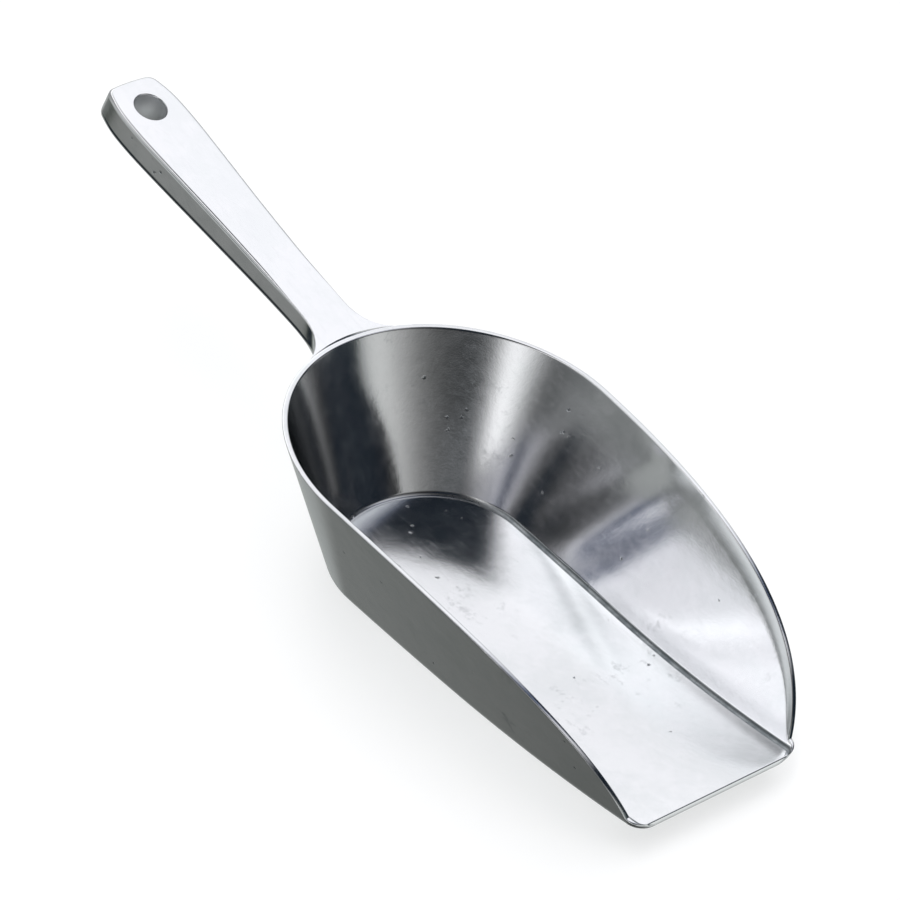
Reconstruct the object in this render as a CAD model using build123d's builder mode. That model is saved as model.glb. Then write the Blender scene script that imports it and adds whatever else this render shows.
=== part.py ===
from build123d import *
import os
from math import cos, radians, sin, tan

os.makedirs("parts", exist_ok=True)

# Ice scoop, one aluminium casting with a flat-bottomed bowl and a solid drilled handle. Millimetres.
# +Z is up and the flat floor rests on Z = 0. +X points to the pouring lip, and Y = 0 is the mirror plane.

# Whole scoop
overall_length = 320.0
lip_x = overall_length / 2

# Bowl cavity: half an ellipse behind, then sides on long arcs that close in a little towards the lip
cavity_length = 135.0
cavity_back = 31.6
cavity_half_width = 38.9
cavity_lip_half_width = 33.1
side_draft = 25.6
back_draft = 29.4
wall = 1.8
floor_thickness = 2.7
rim_height = 53.6
turn_x = lip_x - cavity_length

# Floor: flat from the back, then swept up to the lip
sweep_start_x = 71.5
sweep_rise = 7.2

# Rim seen from the side: level behind, then falling in one long curve to the lip
rim_mid = (87.0, 47.8)
rim_low = (129.8, 35.2)
rim_end_fall = (0.35, -1)
lip_corner_radius = 2.2

# Rounded edges of the bowl
floor_fillet = 2.4
heel_fillet = 7.0

# Handle, as distance along its sloping top face from the rim, and half width or depth there
handle_pitch = 10.8
handle_end_half_width = 10.0
handle_end_corner = 3.8
handle_end_slant = 0.33
handle_taper = (117.5, 11.6)
handle_wide = (106.0, 12.95)
handle_middle = (66.0, 11.1)
handle_neck = (17.0, 9.4)
handle_flare = (4.0, 11.4)
handle_root = (-14.0, 20.0)
handle_root_slant = 0.6
root_fillet = 7.0
root_reach = 12.0
handle_end_thickness = 12.3
handle_middle_depth = (66.0, -11.2)
handle_neck_depth = (14.8, -9.2)
handle_root_depth = (-14.0, -9.4)
handle_least_thickness = 8.4
handle_top_round = 1.25
grip_start = 25.0
handle_under_round = 3.65

# Hanging hole
hole_radius = 5.9
hole_from_end = 12.8
hole_break = 0.6


def bowl_outline(height, back, half_width, lip_half_width, front):
    """Plan outline of the bowl at one height: half an ellipse behind, arcs down the sides, a straight front."""
    with BuildSketch(Plane.XY.offset(height)) as outline:
        with BuildLine():
            EllipticalCenterArc((turn_x, 0), back, half_width, start_angle=90, arc_size=180)
            TangentArc((turn_x, -half_width), (front, -lip_half_width), tangent=(1, 0))
            Line((front, -lip_half_width), (front, lip_half_width))
            TangentArc((turn_x, half_width), (front, lip_half_width), tangent=(1, 0))
        make_face()
    return outline.sketch


def above_floor(level):
    """Side view of everything above the floor surface that starts at the given level."""
    front_x = lip_x + front_allowance
    front_level = level + sweep_rise + front_allowance * sweep_slope
    with BuildSketch(Plane.XZ) as profile:
        with BuildLine():
            TangentArc((sweep_start_x, level), (lip_x, level + sweep_rise), tangent=(1, 0))
            Polyline((lip_x, level + sweep_rise), (front_x, front_level), (front_x, top_level),
                     (-lip_x, top_level), (-lip_x, level), (sweep_start_x, level))
        make_face()
    return profile.sketch


def lower_edges(part, below, behind):
    """Edges whose middles lie below one height and behind one distance."""
    return [edge for edge in part.edges() if edge.center().Z < below and edge.center().X < behind]


def edges_at(part, plane, low, high, start, end):
    """Edges whose middles lie between two levels of the plane, and between two distances along it."""
    found = []
    for edge in part.edges():
        middle = plane.to_local_coords(edge.center())
        if low < middle.Z < high and start < middle.X < end:
            found.append(edge)
    return found


# The drafted walls spread by these amounts per millimetre of height
side_spread = tan(radians(side_draft))
back_spread = tan(radians(back_draft))
side_wall = wall / cos(radians(side_draft))
back_wall = wall / cos(radians(back_draft))
cavity_depth = rim_height - floor_thickness
lip_level = floor_thickness + sweep_rise

# Tool solids run past what they cut by these amounts
front_allowance = 12.0
top_level = rim_height + 12.0
top_depth = top_level - floor_thickness
reach = 100.0
sweep_slope = 2 * sweep_rise / (lip_x - sweep_start_x)

# Outside of the bowl as a solid block, with the heel swept up to the lip and its edge rounded
with BuildPart() as bowl_block:
    add(bowl_outline(0, cavity_back + back_wall - floor_thickness * back_spread,
                     cavity_half_width + side_wall - floor_thickness * side_spread,
                     cavity_lip_half_width + side_wall - floor_thickness * side_spread, lip_x))
    add(bowl_outline(rim_height, cavity_back + back_wall + cavity_depth * back_spread,
                     cavity_half_width + side_wall + cavity_depth * side_spread,
                     cavity_lip_half_width + side_wall + cavity_depth * side_spread, lip_x))
    loft(ruled=True)
    extrude(above_floor(0), amount=reach, both=True, mode=Mode.INTERSECT)
    fillet(lower_edges(bowl_block, sweep_rise + 1, lip_x - 1), radius=heel_fillet)
    corners = [edge for edge in bowl_block.edges()
               if edge.center().X > lip_x - 1 and lip_level < edge.center().Z < rim_height - 1]
    fillet(corners, radius=lip_corner_radius)

# The space inside, from the floor surface up past the rim and out past the lip
with BuildPart() as cavity:
    add(bowl_outline(floor_thickness, cavity_back, cavity_half_width,
                     cavity_lip_half_width, lip_x + front_allowance))
    add(bowl_outline(top_level, cavity_back + top_depth * back_spread,
                     cavity_half_width + top_depth * side_spread,
                     cavity_lip_half_width + top_depth * side_spread, lip_x + front_allowance))
    loft(ruled=True)
    extrude(above_floor(floor_thickness), amount=reach, both=True, mode=Mode.INTERSECT)
    fillet(lower_edges(cavity, lip_level + 1, lip_x), radius=floor_fillet)

# Everything in front of and above the falling rim, cut from the side
with BuildPart() as above_rim:
    with BuildSketch(Plane.XZ) as rim_cut:
        with BuildLine():
            Spline((turn_x, rim_height), rim_mid, rim_low, (lip_x, lip_level),
                   tangents=((1, 0), rim_end_fall))
            Polyline((lip_x, lip_level), (lip_x + front_allowance, lip_level + front_allowance),
                     (lip_x + front_allowance, top_level), (turn_x, top_level), (turn_x, rim_height))
        make_face()
    extrude(amount=reach, both=True)

# The bowl: floor and drafted walls under the falling rim, with the lip corners rounded
with BuildPart() as bowl:
    add(bowl_block.part)
    add(cavity.part, mode=Mode.SUBTRACT)
    add(above_rim.part, mode=Mode.SUBTRACT)

# Handle: a top face that pitches up from the rim, flared into the bowl at its root, rounded underneath
pitch = radians(handle_pitch)
root_x = turn_x - cavity_back - back_wall - cavity_depth * back_spread
under_lean = (handle_end_thickness - handle_under_round) * sin(pitch)
handle_length = handle_under_round + (lip_x - handle_under_round + root_x - under_lean) / cos(pitch)
along = (-cos(pitch), 0, sin(pitch))
root_top = (root_x, 0, rim_height + back_wall * tan(pitch))
handle_top = Plane(origin=root_top, x_dir=along, z_dir=(sin(pitch), 0, cos(pitch)))
handle_side = Plane(origin=root_top, x_dir=along, z_dir=(0, 1, 0))
end_corner = (handle_length, handle_end_half_width)
under_end = (handle_length, -handle_end_thickness)
behind = handle_length + front_allowance

# Limits that tell the handle's edges apart
clear_of_top = 1.0
clear_of_root = 1.0
top_tolerance = 0.01
seam_below_top = 0.2

with BuildPart() as bar:
    with BuildSketch(handle_top) as handle_plan:
        with BuildLine():
            Line((handle_length, 0), end_corner)
            Spline(end_corner, handle_taper, handle_wide, handle_middle, handle_neck, handle_flare,
                   handle_root, tangents=((-1, handle_end_slant), (-1, handle_root_slant)))
            Line(handle_root, (handle_root[0], 0))
            mirror(about=Plane.XZ)
        make_face()
    extrude(amount=-rim_height / 2)
    with BuildSketch(handle_side) as handle_section:
        with BuildLine():
            Spline(under_end, handle_middle_depth, handle_neck_depth, handle_root_depth,
                   tangents=((-1, 0), (-1, 0)))
            Polyline(handle_root_depth, (handle_root[0], clear_of_top), (behind, clear_of_top),
                     (behind, -handle_end_thickness), under_end)
        make_face()
    extrude(amount=reach, both=True, mode=Mode.INTERSECT)
    end_edges = bar.edges().filter_by(Axis(origin=(0, 0, 0), direction=handle_top.z_dir))
    fillet(end_edges.sort_by(Axis.X)[:2], radius=handle_end_corner)
    under_edges = edges_at(bar, handle_top, -rim_height, -handle_least_thickness, clear_of_root, behind)
    fillet(under_edges, radius=handle_under_round)

# The room the finished handle may fill: rounded top edges along the grip, anything around the neck and root
with BuildPart() as kept:
    add(bar.part)
    top_edges = edges_at(kept, handle_top, -top_tolerance, top_tolerance, clear_of_root, behind)
    fillet(top_edges, radius=handle_top_round)
    with Locations(handle_top):
        Box(2 * grip_start, reach, reach)

# Handle: the bar blended into the outside of the bowl, then parted from it along the bowl's own wall
with BuildPart() as handle:
    add(bowl_block.part)
    add(bar.part)
    seam = [edge for edge in edges_at(handle, handle_top, -handle_end_thickness, -seam_below_top,
                                      -root_reach, root_reach)
            if abs(edge.center().Y) < handle_root[1] + root_fillet]
    fillet(seam, radius=root_fillet)
    add(bowl_block.part, mode=Mode.SUBTRACT)
    add(kept.part, mode=Mode.INTERSECT)
    with Locations(handle_top.offset(clear_of_top) * Location((handle_length - hole_from_end, 0))):
        Hole(radius=hole_radius)
    round_faces = handle.faces().filter_by(GeomType.CYLINDER)
    bore = round_faces.filter_by(lambda face: abs(face.radius - hole_radius) < top_tolerance)
    chamfer(bore.edges().filter_by(GeomType.LINE, reverse=True), length=hole_break)

bowl.part.label = "bowl"
handle.part.label = "handle"
export_step(bowl.part, "parts/bowl.step")
export_step(handle.part, "parts/handle.step")
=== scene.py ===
from functools import partial, reduce
from math import acos, atan2, cos, pi, radians, sin, sqrt, tan

import bmesh
import bpy
from mathutils import Matrix, Vector


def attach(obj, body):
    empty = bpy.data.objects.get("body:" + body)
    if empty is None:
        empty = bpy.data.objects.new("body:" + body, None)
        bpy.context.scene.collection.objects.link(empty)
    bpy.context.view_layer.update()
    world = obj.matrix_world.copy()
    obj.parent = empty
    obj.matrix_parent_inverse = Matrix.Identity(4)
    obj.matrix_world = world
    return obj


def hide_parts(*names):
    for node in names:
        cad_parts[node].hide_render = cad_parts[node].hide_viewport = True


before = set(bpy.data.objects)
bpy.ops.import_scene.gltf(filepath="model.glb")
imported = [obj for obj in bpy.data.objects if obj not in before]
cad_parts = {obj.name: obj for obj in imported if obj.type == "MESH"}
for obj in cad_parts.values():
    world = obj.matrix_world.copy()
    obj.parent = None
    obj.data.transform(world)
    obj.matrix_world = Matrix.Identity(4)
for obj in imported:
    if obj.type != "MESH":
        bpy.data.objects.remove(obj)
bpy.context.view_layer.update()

MM = 0.001

# The casting's dimensions in millimetres, the same as the CAD's
LIP_X = 160.0
TURN_X = 25.0
CAVITY_BACK, CAVITY_SIDE, CAVITY_NARROWING = 31.6, 38.9, 5.8
BACK_DRAFT, SIDE_DRAFT = radians(29.4), radians(25.6)
BACK_SPREAD, SIDE_SPREAD = tan(BACK_DRAFT), tan(SIDE_DRAFT)
WALL = 1.8
BACK_WALL, SIDE_WALL = WALL / cos(BACK_DRAFT), WALL / cos(SIDE_DRAFT)
FLOOR = 2.7
RIM = 53.6
SWEEP_X, SWEEP_RISE = 71.5, 7.2
FLOOR_FILLET, HEEL_FILLET = 2.4, 7.0

# Finer than the CAD's: the dressed edges, no more than a share of a low wall, and the lip's corners
RIM_ROUND, RIM_ROUND_SHARE, LIP_ROUND = 0.4, 0.3, 0.4
LIP_CORNER, LIP_CORNER_INSIDE = 4.5, 2.65

# Flat stretches have a point this close to each end, so that they shade flat
SUPPORT = 0.25

# Hand polishing left the inner walls gently uneven, in stripes that lean towards the lip as they rise:
# (distance along the bowl, inward offset), faded out near the floor, the rim and the rounded back
UNEVEN = ((8, 0), (24, -0.2), (29, -0.25), (41, 0.45), (50, 0.2), (62, 0.45), (87, 0.55), (160, 0.55))
UNEVEN_LEAN = 0.6
UNEVEN_FLOOR_FADE, UNEVEN_RIM_FADE, UNEVEN_BACK_FADE = 9.0, 3.0, 10.0

# The rim seen from the side is one quarter of a superellipse, and its end rounds over into the lip's corner
RIM_START_X, RIM_LOW = -66.7, -11.4
RIM_POWER_X, RIM_POWER_Z = 3.99, 2.45
RIM_END_START, RIM_END_HEIGHT = 154.0, 1.5
RIM_PASSES = 12

# The walls never get lower than this, so that the skin stays closed at the lip
LEAST_WALL, LEAST_RIM = 0.02, 0.05

# Painted shade in the corner between floor and wall: full along the sides, falling by this power of the
# turn to this share in the middle of the back
CORNER_SHADE_TURN, CORNER_SHADE_BACK = 4, 0.25

# In metres: points closer than this are one, and edges shorter than this are dropped
WELD = 0.00001
BOWL_SLIVER, HANDLE_SLIVER = 0.000005, 0.000004
SHARP_ANGLE = radians(28)


def lerp(a, b, t):
    return a + (b - a) * t


def smooth(t):
    t = min(1.0, max(0.0, t))
    return t * t * (3 - 2 * t)


def heel_z(x):
    """Height of the underside."""
    return SWEEP_RISE * (max(0.0, x - SWEEP_X) / (LIP_X - SWEEP_X)) ** 2


def rim_z(x):
    """Height of the rim."""
    u = min(1.0, max(0.0, (x - RIM_START_X) / (LIP_X - RIM_START_X)))
    level = RIM_LOW + (RIM - RIM_LOW) * (1 - u ** RIM_POWER_X) ** (1 / RIM_POWER_Z)
    if x > RIM_END_START:
        share = min(1.0, (x - RIM_END_START) / (LIP_X - RIM_END_START))
        level = max(level, FLOOR + SWEEP_RISE + RIM_END_HEIGHT * sqrt(1 - share ** 2))
    return level


def narrowing(x):
    """How much each side has closed in by this distance along the bowl."""
    length = LIP_X - TURN_X
    radius = (length ** 2 + CAVITY_NARROWING ** 2) / (2 * CAVITY_NARROWING)
    return radius - sqrt(radius ** 2 - (x - TURN_X) ** 2)


def curve(table, s):
    """Smooth curve through a few (distance, value) pairs."""
    for k in range(len(table) - 1):
        if s <= table[k + 1][0] or k == len(table) - 2:
            break
    (x0, y0), (x1, y1) = table[k], table[k + 1]
    xa, ya = table[max(0, k - 1)]
    xb, yb = table[min(len(table) - 1, k + 2)]
    m0 = (y1 - ya) / (x1 - xa)
    m1 = (yb - y0) / (xb - x0)
    h = x1 - x0
    t = (s - x0) / h
    return ((2 * t ** 3 - 3 * t ** 2 + 1) * y0 + (t ** 3 - 2 * t ** 2 + t) * h * m0
            + (3 * t ** 2 - 2 * t ** 3) * y1 + (t ** 3 - t ** 2) * h * m1)


def new_object(name, bm):
    mesh = bpy.data.meshes.new(name)
    bm.to_mesh(mesh)
    bm.free()
    obj = bpy.data.objects.new(name, mesh)
    bpy.context.scene.collection.objects.link(obj)
    for polygon in mesh.polygons:
        polygon.use_smooth = True
    return obj


def strip(bm, a, b, flip):
    """Fills the strip between two rows of points with quads."""
    for k in range(len(a) - 1):
        quad = (a[k], a[k + 1], b[k + 1], b[k])
        bm.faces.new(quad if flip else tuple(reversed(quad)))


def closed_skin(name, bm, sliver):
    """Joins the rows and halves of a skin into one closed object."""
    bmesh.ops.remove_doubles(bm, verts=bm.verts, dist=WELD)
    bmesh.ops.dissolve_degenerate(bm, edges=bm.edges, dist=sliver)
    bmesh.ops.recalc_face_normals(bm, faces=bm.faces)
    return new_object(name, bm)


# ---- Bowl: one closed skin of sections, each from the middle of the floor over the rim to the underside

FLOOR_STEPS, FILLET_STEPS, WALL_STEPS, RIM_STEPS = 10, 10, 20, 4
SIDE_STATIONS, SIDE_CROWDING, CORNER_STATIONS, BACK_STATIONS = 80, 1.5, 16, 56


def arc_points(start, corner, end, steps, share=1.0):
    """Points along a share of the circular arc that is tangent to start-corner and corner-end."""
    a, b = (start - corner), (end - corner)
    half = a.angle(b) / 2
    centre = corner + (a.normalized() + b.normalized()).normalized() * (a.length / cos(half))
    radius = a.length * tan(half)
    u = (start - centre) / radius
    total = u.angle((end - centre) / radius)
    v = ((end - centre) / radius - u * cos(total)) / sin(total)
    angles = [total * share * k / steps for k in range(steps + 1)]
    return [centre + (u * cos(angle) + v * sin(angle)) * radius for angle in angles]


def run(start, end, steps):
    """Points between two ends, both left out, with one close to each end."""
    length = (end - start).length
    if length < 4 * SUPPORT:
        return [lerp(start, end, k / steps) for k in range(1, steps)]
    near = SUPPORT / length
    return [lerp(start, end, lerp(near, 1 - near, k / (steps - 2))) for k in range(steps - 1)]


def half_section(foot, middle, outward, spread, floor_z, top_z, fillet, turn_in):
    """The inside or outside of one half section: from the middle to the rounded corner, then up to the rim.

    foot is where wall and floor planes meet, and turn_in is +1 for the inside and -1 for the outside."""
    wall_dir = (outward * spread + Vector((0, 0, 1))).normalized()
    base = Vector((foot.x, foot.y, floor_z))
    angle = pi / 2 - atan2(spread, 1)
    slope = max(LEAST_WALL, top_z - floor_z) / wall_dir.z
    reach = fillet * tan(angle / 2)
    floor_end = base - outward * reach
    centre = Vector((middle.x, middle.y, floor_z))
    cut = min(RIM_ROUND, slope * RIM_ROUND_SHARE)
    if slope - cut > reach:
        share = 1.0
    else:
        share = acos(max(-1.0, 1 - (slope - cut) * wall_dir.z / fillet)) / angle
    corner = arc_points(floor_end, base, base + wall_dir * reach, FILLET_STEPS, share)
    if share == 1.0:
        top = base + wall_dir * slope
        wall_end = top - wall_dir * cut
    else:
        top = Vector((corner[-1].x, corner[-1].y, top_z))
        wall_end = corner[-1]
    points = [centre] + run(centre, floor_end, FLOOR_STEPS)
    points += corner
    points += run(corner[-1], wall_end, WALL_STEPS)
    points += arc_points(wall_end, top, top + outward * (cut * turn_in), RIM_STEPS)
    return points


def bowl_section(kind, value, side):
    """Inside and outside of the section at one station.

    kind is 'back' with an angle, or 'side' with a distance along the bowl."""
    if kind == "back":
        def at(z, extra_back, extra_side):
            a = CAVITY_BACK + extra_back + (z - FLOOR) * BACK_SPREAD
            b = CAVITY_SIDE + extra_side + (z - FLOOR) * SIDE_SPREAD
            return Vector((TURN_X - a * cos(value), side * b * sin(value), 0))
        grow = Vector((-BACK_SPREAD * cos(value), side * SIDE_SPREAD * sin(value), 0))
        middle = Vector((TURN_X, 0, 0))
        under_z, floor_z = 0.0, FLOOR
    else:
        along = LIP_X - value

        def at(z, extra_back, extra_side):
            radius = LIP_CORNER if extra_side else LIP_CORNER_INSIDE
            corner = radius - sqrt(radius ** 2 - max(0.0, radius - along) ** 2)
            y = CAVITY_SIDE + extra_side + (z - FLOOR) * SIDE_SPREAD - narrowing(value) - corner
            return Vector((value, side * y, 0))
        grow = Vector((0, side * SIDE_SPREAD, 0))
        middle = Vector((value, 0, 0))
        ease = LIP_ROUND - sqrt(max(0.0, LIP_ROUND ** 2 - max(0.0, LIP_ROUND - along) ** 2))
        under_z = heel_z(value) + ease
        floor_z = heel_z(value) + FLOOR - ease
    spread, outward = grow.length, grow.normalized()

    # the rim's height follows the point of the wall that it cuts
    top_z = RIM
    for _ in range(RIM_PASSES):
        top_z = rim_z(at(top_z, 0, 0).x)
    top_z = max(top_z, floor_z + LEAST_RIM)
    sides = []
    for z, extra_back, extra_side, fillet, turn_in in ((floor_z, 0, 0, FLOOR_FILLET, 1),
                                                       (under_z, BACK_WALL, SIDE_WALL, HEEL_FILLET, -1)):
        foot = at(z, extra_back, extra_side)
        sides.append(half_section(foot, middle, outward, spread, z, top_z, fillet, turn_in))
    if kind == "side":
        for p in sides[0][FLOOR_STEPS + FILLET_STEPS:-RIM_STEPS - 1]:
            height = p.z - floor_z
            fade = (smooth(height / UNEVEN_FLOOR_FADE) * smooth((top_z - p.z) / UNEVEN_RIM_FADE)
                    * smooth((value - TURN_X) / UNEVEN_BACK_FADE))
            p.y -= side * fade * curve(UNEVEN, max(UNEVEN[0][0], value - UNEVEN_LEAN * height))
    return sides


def bowl_stations():
    """Stations from the near lip corner round the back to the far lip corner."""
    side = [TURN_X + (LIP_X - LIP_CORNER - TURN_X) * (1 - (1 - k / SIDE_STATIONS) ** SIDE_CROWDING)
            for k in range(SIDE_STATIONS + 1)]
    side += [LIP_X - LIP_CORNER + LIP_CORNER * sin(pi / 2 * k / CORNER_STATIONS)
             for k in range(1, CORNER_STATIONS + 1)]
    back = [pi / 2 * k / BACK_STATIONS for k in range(BACK_STATIONS)]
    stations = [("side", x, -1) for x in reversed(side)]
    stations += [("back", a, -1) for a in reversed(back)]
    stations += [("back", a, 1) for a in back[1:]]
    stations += [("side", x, 1) for x in side]
    return stations


def build_bowl():
    bm = bmesh.new()
    # painted shade along the corner between floor and wall, as a share at each point of the inner fillet
    corner_shade = bm.verts.layers.float.new("corner_shade")
    rows = []
    for station in bowl_stations():
        inside, outside = bowl_section(*station)
        row_in = [bm.verts.new(p * MM) for p in inside]
        row_out = [bm.verts.new(p * MM) for p in outside]
        # how much painted shade this station's corner gets
        shade_strength = 1.0
        if station[0] == "back":
            shade_strength = CORNER_SHADE_BACK + (1 - CORNER_SHADE_BACK) * sin(station[1]) ** CORNER_SHADE_TURN
        for k in range(1, FILLET_STEPS):
            row_in[FLOOR_STEPS - 1 + k][corner_shade] = shade_strength * min(1.0, 2.0 * sin(pi * k / FILLET_STEPS))
        rows.append((row_in, row_out))
    for (in_a, out_a), (in_b, out_b) in zip(rows, rows[1:]):
        strip(bm, in_a, in_b, True)
        strip(bm, out_a, out_b, False)
        bm.faces.new((in_a[-1], out_a[-1], out_b[-1], in_b[-1]))
    strip(bm, *rows[0], False)
    strip(bm, *rows[-1], True)
    return closed_skin("bowl_shell", bm, BOWL_SLIVER)


# ---- Handle, in its own coordinates: s along the sloping top from the rim, y across, d down from the top

PITCH = radians(10.8)
ROOT_X = TURN_X - CAVITY_BACK - BACK_WALL - (RIM - FLOOR) * BACK_SPREAD
ROOT_Z = RIM + BACK_WALL * tan(PITCH)
END_DEPTH, UNDER_ROUND = 12.3, 3.65
LENGTH = UNDER_ROUND + (LIP_X - UNDER_ROUND + ROOT_X - (END_DEPTH - UNDER_ROUND) * sin(PITCH)) / cos(PITCH)
END_REACH, END_BOW = 3.0, 0.3
HOLE_FROM_END, HOLE_R, HOLE_BREAK = 12.8, 5.9, 0.3
HOLE_S = LENGTH - HOLE_FROM_END

# The top's edges are sharper at the root, and soften over this stretch
TOP_ROUND, ROOT_TOP_ROUND = 1.25, 0.4
TOP_ROUND_START, TOP_ROUND_LENGTH = 14.0, 25.0

# The root leaves the bar at ROOT_START and spreads over the wall, a little under its skin and under the rim
ROOT_START, ROOT_REACH, ROOT_REACH_UNDER = 13.5, 14.5, 7.0
ROOT_SINK, ROOT_BELOW_RIM = 0.12, 0.1

# Half width and depth at distances along the handle
WIDTHS = ((-14.0, 9.8), (9.0, 9.6), (17.0, 9.5), (36.0, 9.9), (60.0, 10.8), (84.0, 12.15), (98.0, 12.85),
          (107.0, 12.9), (113.0, 12.5), (117.5, 11.6), (123.1, 9.9))
DEPTHS = ((-14.0, 9.4), (14.8, 9.2), (66.0, 11.2), (123.0, 12.3))

# The points that make the skin, as shares of the half width and of the flat side's height, and as counts
TOP_SHARES = (0.0, 0.2, 0.4, 0.6, 0.8, 0.92, 0.98)
SIDE_SHARES = (0.03, 0.25, 0.5, 0.75, 0.97)
ROUND_STEPS, ROOT_STEPS, ROOT_SKIN_STEPS = 6, 14, 8
GRIP_STEPS, END_CORNER_STEPS, END_STEPS = 90, 12, 10

# Where the search for the bowl's wall starts along the handle, and how many times it halves
WALL_SEARCH, WALL_HALVINGS = (-40.0, 20.0), 40


def handle_world(s, y, d):
    x = ROOT_X - s * cos(PITCH) - d * sin(PITCH)
    z = ROOT_Z + s * sin(PITCH) - d * cos(PITCH)
    return Vector((x, y, z))


def wall_hit(y, d):
    """Distance along the handle at which this line of it meets the outside of the bowl."""
    low, high = WALL_SEARCH
    for _ in range(WALL_HALVINGS):
        s = (low + high) / 2
        p = handle_world(s, y, d)
        a = CAVITY_BACK + BACK_WALL + (p.z - FLOOR) * BACK_SPREAD
        b = CAVITY_SIDE + SIDE_WALL + (p.z - FLOOR) * SIDE_SPREAD
        inside = (TURN_X - p.x) / a < sqrt(max(0.0, 1 - (y / b) ** 2))
        low, high = (s, high) if inside else (low, s)
    return s


def handle_outline():
    """Half of the plan outline, from the root to the middle of the end: (s, y, normal s, normal y)."""
    tip = Vector((LENGTH - END_BOW, curve(WIDTHS, LENGTH - END_BOW), 0))
    before = tip.x - 1.0
    taper = (Vector((before, curve(WIDTHS, before), 0)) - tip).normalized()
    corner = arc_points(tip + taper * END_REACH, tip, tip - Vector((0, END_REACH, 0)), END_CORNER_STEPS)
    sides = [lerp(ROOT_START, corner[0].x, k / GRIP_STEPS) for k in range(GRIP_STEPS)]
    points = [(s, curve(WIDTHS, s)) for s in sides]
    points += [(p.x, p.y) for p in corner]
    edge_s, edge_y = points[-1]
    for k in range(1, END_STEPS + 1):
        y = edge_y * (1 - k / END_STEPS)
        points.append((edge_s + END_BOW * (1 - (y / edge_y) ** 2), y))
    outline = []
    for k, (s, y) in enumerate(points):
        s0, y0 = points[max(0, k - 1)]
        s1, y1 = points[min(len(points) - 1, k + 1)]
        n = Vector((-(y1 - y0), s1 - s0)).normalized()
        if k == len(points) - 1:
            n = Vector((1, 0))
        outline.append((s, y, n.x, n.y))
    return outline


def ring_profile(depth, top_round):
    """(inset, depth, outward y, outward d) down one side, from the flat top's edge to the underside's."""
    ring = []
    for k in range(ROUND_STEPS + 1):
        a = pi / 2 * k / ROUND_STEPS
        ring.append((top_round * (1 - sin(a)), top_round * (1 - cos(a)), 1.0, 0.0))
    for share in SIDE_SHARES:
        ring.append((0.0, lerp(top_round, depth - UNDER_ROUND, share), 1.0, 0.0))
    for k in range(ROUND_STEPS + 1):
        a = pi / 2 * k / ROUND_STEPS
        ring.append((UNDER_ROUND * (1 - cos(a)), depth - UNDER_ROUND * (1 - sin(a)), cos(a), sin(a)))
    return ring


def root_path(y, d, out_y, out_d, t):
    """A point on the curve that leaves the bar at t = 0 and ends along the bowl's wall at t = 1."""
    start = Vector((ROOT_START, y, d))
    meet = Vector((wall_hit(y, d), y, d))
    far_y, far_d = y + ROOT_REACH * out_y, d + ROOT_REACH_UNDER * out_d
    far = Vector((wall_hit(far_y, far_d), far_y, far_d))
    sink = Vector((ROOT_SINK * t * t, 0, 0))
    return start * (1 - t) ** 2 + meet * (2 * t * (1 - t)) + far * t ** 2 - sink


def level_with_rim(p, t, depth):
    """Lifts the flare's top, where the sloping plane runs low, so that it meets the rim without a step."""
    low = max(0.0, RIM - ROOT_BELOW_RIM - handle_world(p.x, p.y, 0).z)
    return Vector((p.x, p.y, p.z - low / cos(PITCH) * smooth(t) * (1 - p.z / depth)))


def handle_rows():
    """Half rings round the handle, from the root to the end: each runs over the top, down and under."""
    rows = []
    outline = handle_outline()
    start_y = outline[0][1]
    start_depth = curve(DEPTHS, ROOT_START)
    ring = ring_profile(start_depth, ROOT_TOP_ROUND)
    for step in range(ROOT_STEPS, 0, -1):
        t = step / ROOT_STEPS
        line = [root_path(start_y - inset, d, out_y, out_d, t) for inset, d, out_y, out_d in ring]
        edge, last = line[0], root_path(start_y - ring[0][0], 0.0, 1.0, 0.0, 1.0)
        share_s = (edge.x - ROOT_START) / (last.x - ROOT_START)
        top = []
        for m in TOP_SHARES:
            full = wall_hit(last.y * m, 0.0) - ROOT_SINK
            top.append(Vector((lerp(ROOT_START, full, share_s), edge.y * m, 0.0)))
        under_y = start_y - UNDER_ROUND
        under = [root_path(under_y * m, start_depth, 0.0, 1.0, t) for m in reversed(TOP_SHARES)]
        rows.append([level_with_rim(p, t, start_depth) for p in top + line + under])
    for s, y, normal_s, normal_y in outline:
        depth = curve(DEPTHS, s)
        top_round = lerp(ROOT_TOP_ROUND, TOP_ROUND, smooth((s - TOP_ROUND_START) / TOP_ROUND_LENGTH))
        line = [Vector((s - normal_s * inset, max(0.0, y - normal_y * inset), d))
                for inset, d, _, _ in ring_profile(depth, top_round)]
        top = [Vector((line[0].x, line[0].y * m, 0.0)) for m in TOP_SHARES]
        under = [Vector((line[-1].x, line[-1].y * m, line[-1].z)) for m in reversed(TOP_SHARES)]
        rows.append(top + line + under)
    return rows


def close_root(bm, row, verts, side):
    """Closes the root with a skin that follows the bowl's wall, just inside it."""
    last = len(row) - 1
    columns = []
    for k in range(last // 2 + 1):
        top, under = row[k], row[last - k]
        column = [verts[k]]
        for step in range(1, ROOT_SKIN_STEPS):
            p = lerp(top, under, step / ROOT_SKIN_STEPS)
            inner = Vector((wall_hit(p.y, p.z) - ROOT_SINK, p.y, p.z))
            column.append(bm.verts.new(handle_world(inner.x, side * inner.y, inner.z) * MM))
        columns.append(column + [verts[last - k]])
    for a, b in zip(columns, columns[1:]):
        for k in range(len(a) - 1):
            corners = []
            for vert in (a[k], a[k + 1], b[k + 1], b[k]):
                if vert not in corners:
                    corners.append(vert)
            if len(corners) > 2:
                bm.faces.new(corners)


def build_handle():
    bm = bmesh.new()
    rows = handle_rows()
    for side in (1, -1):
        grid = [[bm.verts.new(handle_world(p.x, side * p.y, p.z) * MM) for p in row] for row in rows]
        for a, b in zip(grid, grid[1:]):
            strip(bm, a, b, side < 0)
        close_root(bm, rows[0], grid[0], side)
    return closed_skin("handle_grip", bm, HANDLE_SLIVER)


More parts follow.
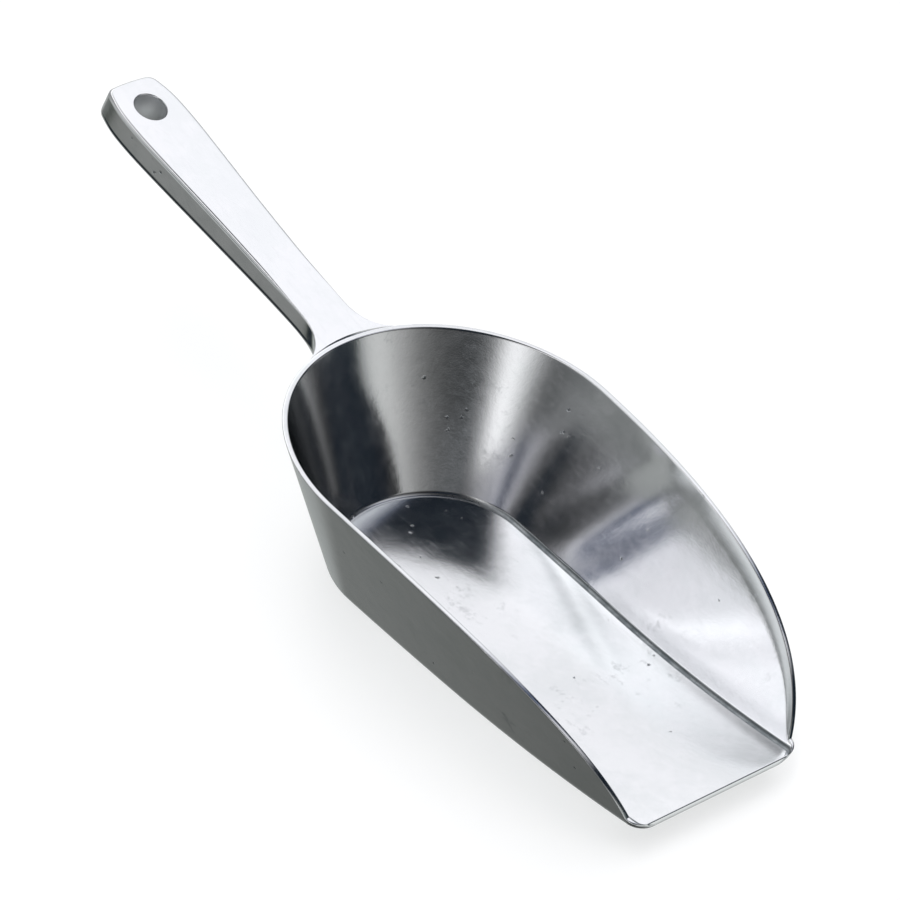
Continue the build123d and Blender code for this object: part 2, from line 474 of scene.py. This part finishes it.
# The plug stands this far proud of both faces, and its broken edges are rounded by these offsets
PLUG_SIDES, PLUG_PROUD, BREAK_LEAD = 96, 2.0, 0.25
BREAK_OUT, BREAK_DOWN, BREAK_RUN = 0.12, 0.1, 0.15
TILT_PROBE = 5.0


def hole_cutter():
    """A turned plug that cuts the hanging hole and its two broken edges."""
    bm = bmesh.new()
    depth = curve(DEPTHS, HOLE_S)
    tilt = (curve(DEPTHS, HOLE_S + TILT_PROBE) - curve(DEPTHS, HOLE_S - TILT_PROBE)) / (2 * TILT_PROBE)
    wide = HOLE_R + HOLE_BREAK
    profile = [
        (wide + PLUG_PROUD, -PLUG_PROUD),
        (wide + BREAK_LEAD, -BREAK_LEAD),
        (wide - BREAK_OUT, BREAK_DOWN),
        (HOLE_R + BREAK_OUT, HOLE_BREAK - BREAK_DOWN),
        (HOLE_R, HOLE_BREAK + BREAK_RUN),
        (HOLE_R, depth - HOLE_BREAK - BREAK_RUN),
        (HOLE_R + BREAK_OUT, depth - HOLE_BREAK + BREAK_DOWN),
        (wide - BREAK_OUT, depth - BREAK_DOWN),
        (wide + PLUG_PROUD, depth + PLUG_PROUD),
    ]
    rings = []
    for radius, d in profile:
        ring = []
        for k in range(PLUG_SIDES):
            a = 2 * pi * k / PLUG_SIDES
            s = radius * cos(a)
            shift = tilt * s if d > depth / 2 else 0.0
            ring.append(bm.verts.new(handle_world(HOLE_S + s, radius * sin(a), d + shift) * MM))
        rings.append(ring)
    for a, b in zip(rings, rings[1:]):
        strip(bm, a + a[:1], b + b[:1], True)
    bm.faces.new(rings[0])
    bm.faces.new(rings[-1])
    bmesh.ops.recalc_face_normals(bm, faces=bm.faces)
    return new_object("hole_cutter", bm)


def apply_modifiers(obj):
    """Makes what the modifiers show into the object's own mesh."""
    bpy.context.view_layer.update()
    mesh = bpy.data.meshes.new_from_object(obj.evaluated_get(bpy.context.evaluated_depsgraph_get()))
    obj.modifiers.clear()
    old = obj.data
    obj.data = mesh
    bpy.data.meshes.remove(old)


bowl = build_bowl()
handle = build_handle()
cutter = hole_cutter()
cut = handle.modifiers.new("hole", "BOOLEAN")
cut.operation = "DIFFERENCE"
cut.object = cutter
cut.solver = "EXACT"
apply_modifiers(handle)
bpy.data.objects.remove(cutter)
for piece in (bowl, handle):
    piece.data.name = piece.name
    piece.data.set_sharp_from_angle(angle=SHARP_ANGLE)


# ---- Node helpers, for the material and the studio

def link(tree, value, socket):
    """Sets a socket to a constant, or joins another node's output to it."""
    if isinstance(value, (int, float, tuple, Vector)):
        socket.default_value = value
    else:
        tree.links.new(value, socket)


def math_node(tree, operation, *values):
    node = tree.nodes.new("ShaderNodeMath")
    node.operation = operation
    for socket, value in zip(node.inputs, values):
        link(tree, value, socket)
    return node.outputs[0]


def vector_node(tree, operation, *values, **named):
    node = tree.nodes.new("ShaderNodeVectorMath")
    node.operation = operation
    for socket, value in zip(node.inputs, values):
        link(tree, value, socket)
    for name, value in named.items():
        link(tree, value, node.inputs[name])
    return node.outputs["Value" if operation == "DOT_PRODUCT" else "Vector"]


# ---- Material: satin-polished cast aluminium

# The metal is cloudy between two shades, dull in pits and rubs, darker with painted shade in the corner
# between floor and wall, and dimmer at glancing angles
DARK_SHADE, LIGHT_SHADE = (0.850, 0.860, 0.875), (0.925, 0.925, 0.945)
DULL_AND_SHADE_COLOUR, EDGE_TINT = (0.11, 0.135, 0.15, 1), (0.60, 0.62, 0.63, 1)

# How dull the rubs and pits are, how dark the painted corner shade is, and how much roughness the dullest
# adds
RUB_WEAR, PIT_WEAR, CORNER_SHADE_AMOUNT = 0.2, 0.8, 0.95
WEAR_ROUGHNESS = 0.25

# How many of the pits' cells hold one: few, and more where the casting was porous
PIT_LIMIT, POROUS_SHARE = 0.994, 0.12
PIT_RAGGEDNESS = 0.0016

# Relief, in metres of height
MOTTLE_RELIEF, CLOUD_RELIEF, GRAIN_RELIEF, PIT_RELIEF = 0.000022, 0.00009, 0.000008, 0.00006

# Roughness and brightness of the polished skin, and of the drilled hole's wall
POLISHED, DRILLED = (0.145, 1.0), (0.5, 0.9)
BORE_TOLERANCE, BORE_LEAN = 0.05, 0.3


def cast_aluminium(name, base_roughness, brightness):
    """Cast aluminium, dressed and satin-polished: cloudy polish, cast mottle, fine grain, pits and rubs, with
    painted shade in the corner between floor and wall.
    """
    material = bpy.data.materials.new(name)
    material.use_nodes = True
    tree = material.node_tree
    shader = tree.nodes["Principled BSDF"]
    shader.inputs["Metallic"].default_value = 1.0
    place = tree.nodes.new("ShaderNodeTexCoord").outputs["Object"]
    math = partial(math_node, tree)

    def mapped(value, from_low, from_high, to_low, to_high):
        node = tree.nodes.new("ShaderNodeMapRange")
        node.interpolation_type = "SMOOTHSTEP"
        for socket, number in zip(node.inputs, (value, from_low, from_high, to_low, to_high)):
            link(tree, number, socket)
        return node.outputs[0]

    def moved(scale, shift):
        node = tree.nodes.new("ShaderNodeMapping")
        link(tree, place, node.inputs["Vector"])
        node.inputs["Scale"].default_value = scale
        node.inputs["Location"].default_value = shift
        return node.outputs[0]

    def noise(scale, detail, roughness=0.55, vector=place, distortion=0.0):
        node = tree.nodes.new("ShaderNodeTexNoise")
        link(tree, vector, node.inputs["Vector"])
        node.inputs["Scale"].default_value = scale
        node.inputs["Detail"].default_value = detail
        node.inputs["Roughness"].default_value = roughness
        node.inputs["Distortion"].default_value = distortion
        return node.outputs["Fac"]

    def blend(share, first, second):
        node = tree.nodes.new("ShaderNodeMix")
        node.data_type = "RGBA"
        for key, value in ((0, share), (6, first), (7, second)):
            link(tree, value, node.inputs[key])
        return node.outputs[2]

    # cloudy polish over centimetres, mottled cast skin over millimetres, and the dresser's fine grain
    cloud = noise(26.0, 2.0)
    mottle = noise(170.0, 3.0, 0.62, distortion=0.3)
    grain = noise(1500.0, 1.0, 0.7)
    scratches = noise(900.0, 1.0, 0.6, vector=moved((0.16, 1.0, 0.5), (0.3, 0.1, 0.2)))

    # pits: small ragged hollows in a few cells, and more of them where the casting was porous
    ragged = vector_node(tree, "MULTIPLY_ADD", math("SUBTRACT", noise(700.0, 1.0), 0.5),
                         (PIT_RAGGEDNESS,) * 3, place)
    cells = tree.nodes.new("ShaderNodeTexVoronoi")
    link(tree, ragged, cells.inputs["Vector"])
    cells.inputs["Scale"].default_value = 380.0
    chosen = tree.nodes.new("ShaderNodeSeparateColor")
    link(tree, cells.outputs["Color"], chosen.inputs[0])
    porous = mapped(noise(36.0, 1.0, vector=moved((1, 1, 1), (4.1, 2.7, 0.6))), 0.56, 0.70, 0.0, 1.0)
    wanted = math("GREATER_THAN", chosen.outputs[0],
                  math("SUBTRACT", PIT_LIMIT, math("MULTIPLY", porous, POROUS_SHARE)))
    pit = math("MULTIPLY", mapped(cells.outputs["Distance"], 0.06, 0.3, 1.0, 0.0), wanted)

    # smudges: faint grey rubs a few millimetres across
    rub_shape = mapped(noise(150.0, 3.0, 0.7, vector=moved((1, 1, 1), (1.7, 5.2, 3.3))), 0.56, 0.74, 0.0, 1.0)
    rub_where = mapped(noise(24.0, 1.0, vector=moved((1, 1, 1), (7.5, 0.4, 2.2))), 0.54, 0.68, 0.0, 1.0)
    rub = math("MULTIPLY", rub_shape, rub_where)

    # painted shade: a dark band painted where floor and wall meet, strongest along the sides
    corner = tree.nodes.new("ShaderNodeAttribute")
    corner.attribute_name = "corner_shade"
    painted_corner_shade = math("MULTIPLY", corner.outputs["Fac"], mapped(mottle, 0.2, 0.8, 0.7, 1.0))

    # colour
    clouding = mapped(math("ADD", math("MULTIPLY", cloud, 0.6), math("MULTIPLY", mottle, 0.4)),
                      0.38, 0.62, 0.0, 1.0)
    shades = [tuple(brightness * level for level in shade) + (1,) for shade in (DARK_SHADE, LIGHT_SHADE)]
    # wear and painted shade: the rubs and pits are worn metal, the corner's darkening is painted shade
    wear_and_shade = math("MAXIMUM", math("MULTIPLY", rub, RUB_WEAR),
                math("MAXIMUM", math("MULTIPLY", pit, PIT_WEAR), math("MULTIPLY", painted_corner_shade, CORNER_SHADE_AMOUNT)))
    link(tree, blend(wear_and_shade, blend(clouding, *shades), DULL_AND_SHADE_COLOUR), shader.inputs["Base Color"])
    shader.inputs["Specular Tint"].default_value = EDGE_TINT

    # roughness
    satin = math("ADD", mapped(cloud, 0.35, 0.65, base_roughness - 0.02, base_roughness + 0.015),
                 mapped(mottle, 0.35, 0.65, -0.012, 0.018))
    satin = math("ADD", satin, mapped(scratches, 0.5, 0.75, 0.0, 0.03))
    satin = math("ADD", satin, math("MULTIPLY", wear_and_shade, WEAR_ROUGHNESS))
    link(tree, satin, shader.inputs["Roughness"])

    # relief
    height = math("ADD", math("MULTIPLY", mottle, MOTTLE_RELIEF), math("MULTIPLY", cloud, CLOUD_RELIEF))
    height = math("ADD", height, math("MULTIPLY", grain, GRAIN_RELIEF))
    height = math("SUBTRACT", height, math("MULTIPLY", pit, PIT_RELIEF))
    bump = tree.nodes.new("ShaderNodeBump")
    bump.inputs["Strength"].default_value = 1.0
    bump.inputs["Distance"].default_value = 1.0
    link(tree, height, bump.inputs["Height"])
    link(tree, bump.outputs[0], shader.inputs["Normal"])
    return material


def in_bore(polygon):
    """Whether this face of the handle is the wall of the drilled hole."""
    axis = handle_world(HOLE_S, 0, 1) - handle_world(HOLE_S, 0, 0)
    arm = polygon.center / MM - handle_world(HOLE_S, 0, 0)
    across = arm - axis * arm.dot(axis)
    return across.length < HOLE_R + BORE_TOLERANCE and abs(polygon.normal.dot(axis)) < BORE_LEAN


metal = cast_aluminium("cast_aluminium", *POLISHED)
drilled = cast_aluminium("drilled_aluminium", *DRILLED)
for piece in (bowl, handle):
    piece.data.materials.clear()
    piece.data.materials.append(metal)
    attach(piece, "root")
handle.data.materials.append(drilled)
for polygon in handle.data.polygons:
    if in_bore(polygon):
        polygon.material_index = 1
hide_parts("bowl")
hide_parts("handle")
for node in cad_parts.values():
    node.data.materials.clear()
    node.data.materials.append(metal)


# ---- Stage: pale floor, soft studio light, camera

# In metres. The floor lies a hair under the scoop, so that the two never share a plane
FLOOR_HALF, FLOOR_DROP = 6.0, 0.0001


def build_floor():
    """A pale floor that the metal doesn't mirror and that holds no light back from it."""
    bm = bmesh.new()
    bmesh.ops.create_grid(bm, x_segments=2, y_segments=2, size=FLOOR_HALF)
    floor = new_object("floor", bm)
    material = bpy.data.materials.new("floor")
    material.use_nodes = True
    shader = material.node_tree.nodes["Principled BSDF"]
    shader.inputs["Base Color"].default_value = (0.93, 0.93, 0.93, 1)
    shader.inputs["Roughness"].default_value = 0.9
    shader.inputs["Specular IOR Level"].default_value = 0.0
    floor.data.materials.append(material)
    floor.location.z = -FLOOR_DROP
    floor.visible_glossy = False
    floor.visible_shadow = False


# Soft studio lights and, where the brightness is negative, dark flags that hold light back. They were fitted
# to what the metal mirrors from the photo's camera: (azimuth from +X, elevation, half width, half height),
# all in degrees, then linear red, green and blue brightness
STUDIO = (
    ((135, 31, 53, 35), (0.76, 0.77, 0.79)),
    ((156, -41, 59, 26), (0.56, 0.575, 0.55)),
    ((222, 69, 62, 8), (1.60, 1.60, 1.60)),
    ((297, 14, 12, 10), (0.60, 0.61, 0.61)),
    ((34, 10, 33, 12), (0.60, 0.60, 0.59)),
    ((310, -34, 63, 18), (0.88, 0.93, 0.92)),
    ((71, -36, 37, 11), (0.71, 0.73, 0.71)),
    ((321, 9, 30, 5), (0.41, 0.44, 0.46)),
    ((44, 11, 13, 24), (-0.76, -0.75, -0.74)),
    ((82, 37, 11, 48), (-1.56, -1.54, -1.51)),
    ((197, -45, 13, 16), (-0.62, -0.62, -0.61)),
    ((81, 54, 25, 14), (1.20, 1.20, 1.23)),
    ((246, 29, 21, 14), (0.70, 0.73, 0.74)),
    ((10, -45, 50, 22), (0.38, 0.39, 0.39)),
)
STUDIO_DARKEST, STUDIO_STRENGTH = (0.008, 0.013, 0.020), 1.06

# The photo's frame, and so the render's, is this many pixels wide and high
IMAGE_PX = 900


def soft_lobe(tree, direction, azimuth, elevation, half_width, half_height):
    """A soft-edged patch of the surroundings: 1 in its middle, falling off like a bell to each side."""
    azimuth, elevation = radians(azimuth), radians(elevation)
    centre = Vector((cos(elevation) * cos(azimuth), cos(elevation) * sin(azimuth), sin(elevation)))
    across = Vector((-sin(azimuth), cos(azimuth), 0))
    up = centre.cross(across)
    math = partial(math_node, tree)
    dot = partial(vector_node, tree, "DOT_PRODUCT", direction)
    u = dot(across / sin(radians(half_width)))
    v = dot(up / sin(radians(half_height)))
    squares = math("ADD", math("MULTIPLY", u, u), math("MULTIPLY", v, v))
    bell = math("EXPONENT", math("MULTIPLY", squares, -1.0))
    return math("MULTIPLY", bell, math("GREATER_THAN", dot(centre), 0.0))


def build_world():
    """The studio as the metal mirrors it."""
    world = bpy.data.worlds.new("studio")
    world.use_nodes = True
    scene = bpy.context.scene
    scene.world = world
    scene.view_settings.view_transform = "Standard"
    tree = world.node_tree
    direction = tree.nodes.new("ShaderNodeTexCoord").outputs["Generated"]
    patches = [vector_node(tree, "SCALE", colour, Scale=soft_lobe(tree, direction, *place))
               for place, colour in STUDIO]
    total = reduce(partial(vector_node, tree, "ADD"), patches)
    background = tree.nodes["Background"]
    link(tree, vector_node(tree, "MAXIMUM", total, STUDIO_DARKEST), background.inputs["Color"])
    background.inputs["Strength"].default_value = STUDIO_STRENGTH


def build_overhead():
    """A large soft light that turns the floor white: the metal doesn't mirror it, and it casts no shadow."""
    data = bpy.data.lights.new("overhead", "AREA")
    data.shape = "DISK"
    data.size = 5.0
    data.energy = 112.0
    data.use_shadow = False
    light = bpy.data.objects.new("overhead", data)
    light.location = (0, 0, 3.0)
    light.visible_glossy = False
    bpy.context.scene.collection.objects.link(light)


def build_camera():
    """The photo's camera, as fitted to the outlines of the scoop."""
    azimuth, elevation, roll = radians(36.129), radians(37.675), radians(-17.074)
    focal_px, distance = 6193.6, 2.1001
    target = Vector((-6.17, 32.11, 14.93)) * MM
    back = Vector((sin(azimuth) * cos(elevation), -cos(azimuth) * cos(elevation), sin(elevation)))
    right = (-back).cross(Vector((0, 0, 1))).normalized()
    down = (-back).cross(right)
    turned_right = right * cos(roll) + down * sin(roll)
    turned_down = down * cos(roll) - right * sin(roll)
    data = bpy.data.cameras.new("camera")
    camera = bpy.data.objects.new("camera", data)
    bpy.context.scene.collection.objects.link(camera)
    place = target + back * distance
    camera.matrix_world = Matrix((
        (turned_right.x, -turned_down.x, back.x, place.x),
        (turned_right.y, -turned_down.y, back.y, place.y),
        (turned_right.z, -turned_down.z, back.z, place.z),
        (0, 0, 0, 1)))
    data.sensor_width = 36.0
    data.lens = focal_px * data.sensor_width / IMAGE_PX
    data.clip_end = 20.0
    bpy.context.scene.camera = camera


build_floor()
build_world()
build_overhead()
build_camera()
